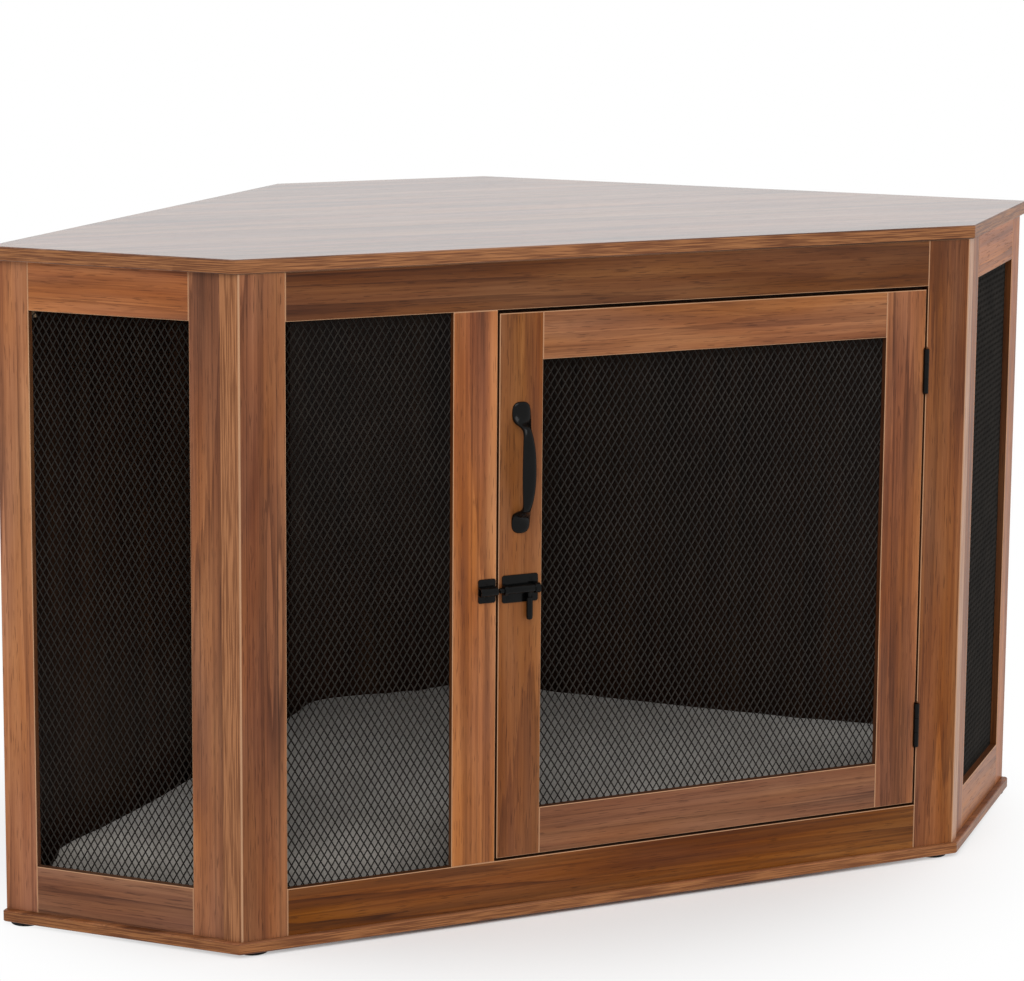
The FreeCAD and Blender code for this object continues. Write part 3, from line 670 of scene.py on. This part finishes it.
def latchStrap():
    left, right = latch["keeperLeft"], latch["keeperRight"]
    ears = groundPlate("strapGround", left, right, latch["keeperHalf"])
    axis = (latch["axisY"], latch["level"])
    middle = latch["keeperBore"] + latch["plate"] / 2.0
    back = latch["face"] - latch["plate"] * 0.5
    loop = arch("strapLoop", left, right, axis, middle, latch["plate"], back)
    return seat(joined("latchStrap", [ears, loop]), "cabinet", "hardware_black", satinBlack, "latch_keeper")


def slidingBolt():
    level, axisY = latch["level"], latch["axisY"]
    tip, tail = [Vector((x, axisY, level)) for x in (latch["boltTip"], latch["boltTail"])]
    rod = roundBar("slidingBolt", latch["boltRadius"], tip, tail, latch["boltEase"])
    return seat(rod, "bolt", "hardware_black", satinBlack, "latch_bolt")


def boltKnob():
    # neck through the slot, then a thicker finger grip with a rounded tip
    x, y, level = latch["knobX"], latch["axisY"], latch["level"]
    drop, radius = latch["knob"][0]
    clearSelection()
    bpy.ops.mesh.primitive_circle_add(vertices=24, radius=radius, fill_type="NGON",
                                      location=(x, y, level - drop))
    knob = applyPlace(called("boltKnob"))
    edit(knob, "FACE")
    bpy.ops.mesh.select_all(action="SELECT")
    for nextDrop, nextRadius in latch["knob"][1:]:
        bpy.ops.mesh.extrude_region_move(TRANSFORM_OT_translate={"value": (0, 0, drop - nextDrop)})
        ratio = nextRadius / radius
        bpy.ops.transform.resize(value=(ratio, ratio, 1.0), center_override=(x, y, level - nextDrop))
        radius, drop = nextRadius, nextDrop
    bpy.ops.mesh.select_all(action="SELECT")
    bpy.ops.mesh.normals_make_consistent(inside=False)
    bpy.ops.object.mode_set(mode="OBJECT")
    smooth(knob)
    return seat(knob, "bolt", "hardware_black", satinBlack, "latch_knob")


latchCasing()
latchStrap()
slidingBolt()
boltKnob()
print("latch done")


# hinges

hinge = {
    "x": 0.37675, "y": -0.3355, "level": 0.365, "offset": 0.2035, "length": 0.050, "gap": 0.0003,
    "radius": 0.0031, "knuckleEase": 0.0003, "tongueFrom": 0.0002, "tongueTo": 0.0045,
    "leaf": 0.0012, "leafFrom": 0.0035, "reach": -0.322, "frameX": 0.378, "doorX": 0.3755,
    # corner and ease of the plates
    "leafCorner": (0.0008, 0.0002), "tongueCorner": (0.0002, 0.0001),
}


def hingeHalf(name, low, knuckles, x0, body, node):
    x1 = x0 + hinge["leaf"]
    pitch = (hinge["length"] + hinge["gap"]) / 3.0
    tall = pitch - hinge["gap"]
    y, inset = hinge["y"], hinge["tongueFrom"]
    parts = [plate(name + "Leaf", (x0, y + hinge["leafFrom"], low), (x1, hinge["reach"], low + hinge["length"]),
                   *hinge["leafCorner"], 0)]
    for index in knuckles:
        start = Vector((hinge["x"], y, low + index * pitch))
        end = start + Vector((0, 0, tall))
        parts.append(roundBar(name + "Knuckle", hinge["radius"], start, end, hinge["knuckleEase"], 24))
        parts.append(plate(name + "Tongue", (x0, y, start.z + inset),
                           (x1, y + hinge["tongueTo"], start.z + tall - inset), *hinge["tongueCorner"], 0))
    return seat(joined(name, parts), body, "hardware_black", satinBlack, node)


for side, sign in (("upper", 1), ("lower", -1)):
    low = hinge["level"] + sign * hinge["offset"] - hinge["length"] / 2.0
    hingeHalf(side + "FrameLeaf", low, (0, 2), hinge["frameX"] - hinge["leaf"], "cabinet",
              side + "_hinge_frame_leaf")
    hingeHalf(side + "DoorLeaf", low, (1,), hinge["doorX"], "door", side + "_hinge_door_leaf")
    nodes[side + "_hinge_pin"].data.materials.clear()
    nodes[side + "_hinge_pin"].data.materials.append(satinBlack)
print("hinges done")


# screws

screwRoom = {
    # radius and rise of each head
    "small": (0.0023, 0.0002), "pan": (0.0034, 0.0016), "grip": (0.0040, 0.0024), "flat": (0.0040, 0.0005),
    "latchX": (-0.1315, -0.1045), "latchRise": (-0.0103, 0.0103),
    "strapX": -0.156, "strapRise": (-0.009, 0.009),
    "handleY": -0.319, "handleRise": (-0.058, 0.058),
    "meshY": -0.3244, "doorX": (-0.0965, 0.3295), "doorZ": (0.243, 0.487),
    "windowX": (-0.384, -0.191), "windowZ": (0.21625, 0.51475),
    # sides: outer face's distance from the middle of the front, depth of the heads behind it, places along it
    "sideNormal": 0.302556, "sideDepth": 0.0096, "sideAlong": (0.357, 0.550), "originY": 0.334,
    # under the base: across and along each side, then front and back
    "baseZ": 0.004, "underSides": ((0.295056, 0.453), (0.170, 0.5765), (-0.250, 0.5765)),
    "underEnds": ((-0.310, -0.3265), (-0.020, -0.3265), (0.270, -0.3265), (0, 0.3465)),
}


def sidePoint(across, along, z):
    # a place on the right side, from its distance across and along that side
    half = math.sqrt(0.5)
    return Vector(((across + along) * half, (along - across) * half - screwRoom["originY"], z))


def bothSides(places):
    return places + [((-place[0], place[1], place[2]), (-way[0], way[1], way[2])) for place, way in places]


smallScrew, panScrew, gripScrew, flatScrew = [crossScrew(kind + "Screw", *screwRoom[kind])
                                              for kind in ("small", "pan", "grip", "flat")]
face = latch["face"] - latch["plate"]
out, inside, below = (0, -1, 0), (0, 1, 0), (0, 0, -1)
sideway = (-math.sqrt(0.5), math.sqrt(0.5), 0)
latchPlaces = [((x, face, latch["level"] + z), out)
               for x in screwRoom["latchX"] for z in screwRoom["latchRise"]]
screwSet("latchScrews", smallScrew, latchPlaces, "door", "hardware_black", satinBlack, "latch_screws")
strapPlaces = [((screwRoom["strapX"], face, latch["level"] + z), out) for z in screwRoom["strapRise"]]
screwSet("strapScrews", smallScrew, strapPlaces, "cabinet", "hardware_black", satinBlack, "keeper_screws")
gripPlaces = [((pull["x"], screwRoom["handleY"], pull["z"] + z), inside) for z in screwRoom["handleRise"]]
screwSet("handleScrews", gripScrew, gripPlaces, "door", "zinc_steel", zincPlate, "handle_screws")
doorRim = [((x, screwRoom["meshY"], z), inside) for x in screwRoom["doorX"] for z in screwRoom["doorZ"]]
screwSet("doorRimScrews", panScrew, doorRim, "door", "zinc_steel", zincPlate, "door_mesh_screws")
depth = screwRoom["sideNormal"] - screwRoom["sideDepth"]
sideRim = bothSides([(sidePoint(depth, along, z), sideway)
                     for along in screwRoom["sideAlong"] for z in screwRoom["windowZ"]])
windowRim = [((x, screwRoom["meshY"], z), inside) for x in screwRoom["windowX"] for z in screwRoom["windowZ"]]
screwSet("windowRimScrews", panScrew, sideRim + windowRim, "cabinet", "zinc_steel", zincPlate,
         "window_mesh_screws")
low = screwRoom["baseZ"]
underSides = bothSides([(sidePoint(across, along, low), below) for across, along in screwRoom["underSides"]])
underEnds = [((x, y, low), below) for x, y in screwRoom["underEnds"]]
screwSet("baseScrews", flatScrew, underSides + underEnds, "cabinet", "zinc_steel", zincPlate, "base_screws")
for master in (smallScrew, panScrew, gripScrew, flatScrew):
    bpy.data.objects.remove(master)
for name in ("frame_hinge_screws", "door_hinge_screws"):
    nodes[name].data.materials.clear()
    nodes[name].data.materials.append(satinBlack)
print("screws done")


# feet

feet = {"radius": 0.017, "height": 0.004, "ease": 0.0011,
        "places": {"front": (0.413, -0.317), "tip": (0.606, -0.139), "back": (0.126, 0.334)}}
for place, (x, y) in feet["places"].items():
    for side, sign in (("left", -1), ("right", 1)):
        low, high = [Vector((sign * x, y, z)) for z in (0, feet["height"])]
        foot = roundBar("foot" + place.title() + side.title(), feet["radius"], low, high, feet["ease"], 40)
        seat(foot, "cabinet", "foot_plastic", footBlack, "foot_" + place + "_" + side)
print("feet done")


# floor pad

pad = {"voxel": 0.0075, "shrink": -0.004, "pressure": 4.0, "tension": 12.0, "bending": 0.6, "frames": 20,
       "cap": 0.009, "floor": 0.0161}


def floorPad():
    source = nodes["floor_pad"]
    cushion = bpy.data.objects.new("floorCushion", source.data.copy())
    bpy.context.scene.collection.objects.link(cushion)
    edit(cushion, "VERT")
    bpy.ops.mesh.select_all(action="SELECT")
    bpy.ops.mesh.remove_doubles(threshold=0.00005)
    bpy.ops.mesh.normals_make_consistent(inside=False)
    bpy.ops.object.mode_set(mode="OBJECT")
    applyModifier(cushion, "REMESH", mode="VOXEL", voxel_size=pad["voxel"], use_smooth_shade=True)
    edit(cushion, "VERT")
    bpy.ops.mesh.select_all(action="SELECT")
    bpy.ops.transform.shrink_fatten(value=pad["shrink"])
    bpy.ops.object.mode_set(mode="OBJECT")
    rest = [vertex.co.copy() for vertex in cushion.data.vertices]
    activate(cushion)
    cloth = cushion.modifiers.new("cloth", "CLOTH")
    cloth.settings.use_pressure = True
    cloth.settings.uniform_pressure_force = pad["pressure"]
    cloth.settings.effector_weights.gravity = 0.0
    cloth.settings.tension_stiffness = pad["tension"]
    cloth.settings.bending_stiffness = pad["bending"]
    cloth.point_cache.frame_end = pad["frames"]
    for step in range(1, pad["frames"] + 1):
        bpy.context.scene.frame_set(step)
    bpy.ops.object.modifier_apply(modifier=cloth.name)
    bpy.context.scene.frame_set(1)
    for vertex, start in zip(cushion.data.vertices, rest):
        move = vertex.co - start
        if move.length > pad["cap"]:
            vertex.co = start + move * (pad["cap"] / move.length)
        vertex.co.z = max(vertex.co.z, pad["floor"])
    applyModifier(cushion, "SUBSURF", levels=1, render_levels=1)
    activate(cushion)
    bpy.ops.object.shade_smooth()
    return seat(cushion, "cabinet", "pad_fabric", greyPlush, "floor_pad")


floorPad()
print("pad done")


# floor, light and camera

studio = {
    # floor colour, and where it fades to plain white round the house
    "floor": (0.96, 0.96, 0.96), "near": 0.37, "far": 0.72, "skyForRoom": 0.62,
    # lamp: place, width, power
    "keyLamp": ((-1.95, -3.0, 3.75), 2.9, 110), "fillLamp": ((2.6, -2.4, 2.2), 4.0, 50),
    "aim": (0, 0, 0.35),
    "camera": (-1.42377, -3.22975, 1.11792), "turn": (81.3424, -0.4192, -24.0291),
    "lens": 107.841, "shift": -0.15,
}


def whiteRays(start):
    # 1 for the rays that see plain white surroundings
    camera, glossy, through = [start.node("ShaderNodeLightPath", {}, {}, "Is " + kind + " Ray")
                               for kind in ("Camera", "Glossy", "Transmission")]
    return (camera + glossy + through).clamped(0.4, 0.6)


def studioFloor():
    clearSelection()
    bpy.ops.mesh.primitive_plane_add(size=60.0)
    ground = called("studioFloor")
    constants = {"Base Color": (*studio["floor"], 1.0), "Roughness": 0.6}
    finish, shader, coords, _ = newFinish("paleFloor", constants)
    distance = coords.node("ShaderNodeVectorMath", {"operation": "LENGTH"}, {0: coords}, "Value")
    seen = distance.clamped(studio["near"], studio["far"]) * whiteRays(coords)
    white = coords.node("ShaderNodeEmission", {}, {"Color": (1, 1, 1, 1), "Strength": 1.0})
    tree = finish.node_tree
    mixed = coords.node("ShaderNodeMixShader", {}, {0: seen, 1: Socket(tree, shader.outputs[0]), 2: white})
    tree.links.new(mixed.link, tree.nodes["Material Output"].inputs["Surface"])
    ground.data.materials.append(finish)


def studioSky():
    world = bpy.context.scene.world or bpy.data.worlds.new("studio")
    bpy.context.scene.world = world
    world.use_nodes = True
    tree = world.node_tree
    room = studio["skyForRoom"]
    strength = whiteRays(Socket(tree, None)) * (1.0 - room) + room
    strength.into(tree.nodes["Background"], "Strength")
    tree.nodes["Background"].inputs["Color"].default_value = (1, 1, 1, 1)


def softLamp(name):
    place, size, power = studio[name]
    bpy.ops.object.light_add(type="AREA", location=place)
    lamp = bpy.context.active_object
    lamp.name = name
    lamp.data.size = size
    lamp.data.energy = power
    lamp.rotation_euler = (Vector(studio["aim"]) - Vector(place)).to_track_quat("-Z", "Y").to_euler()
    return lamp


studioFloor()
studioSky()
softLamp("keyLamp")
softLamp("fillLamp").visible_glossy = False  # no pale sheet in the lacquered top from behind
turn = [math.radians(angle) for angle in studio["turn"]]
bpy.ops.object.camera_add(location=studio["camera"], rotation=turn)
camera = bpy.context.active_object
camera.data.lens = studio["lens"]
camera.data.sensor_width = 36.0
camera.data.shift_y = studio["shift"]
bpy.context.scene.camera = camera
bpy.context.scene.view_settings.view_transform = "Standard"
print("studio done")
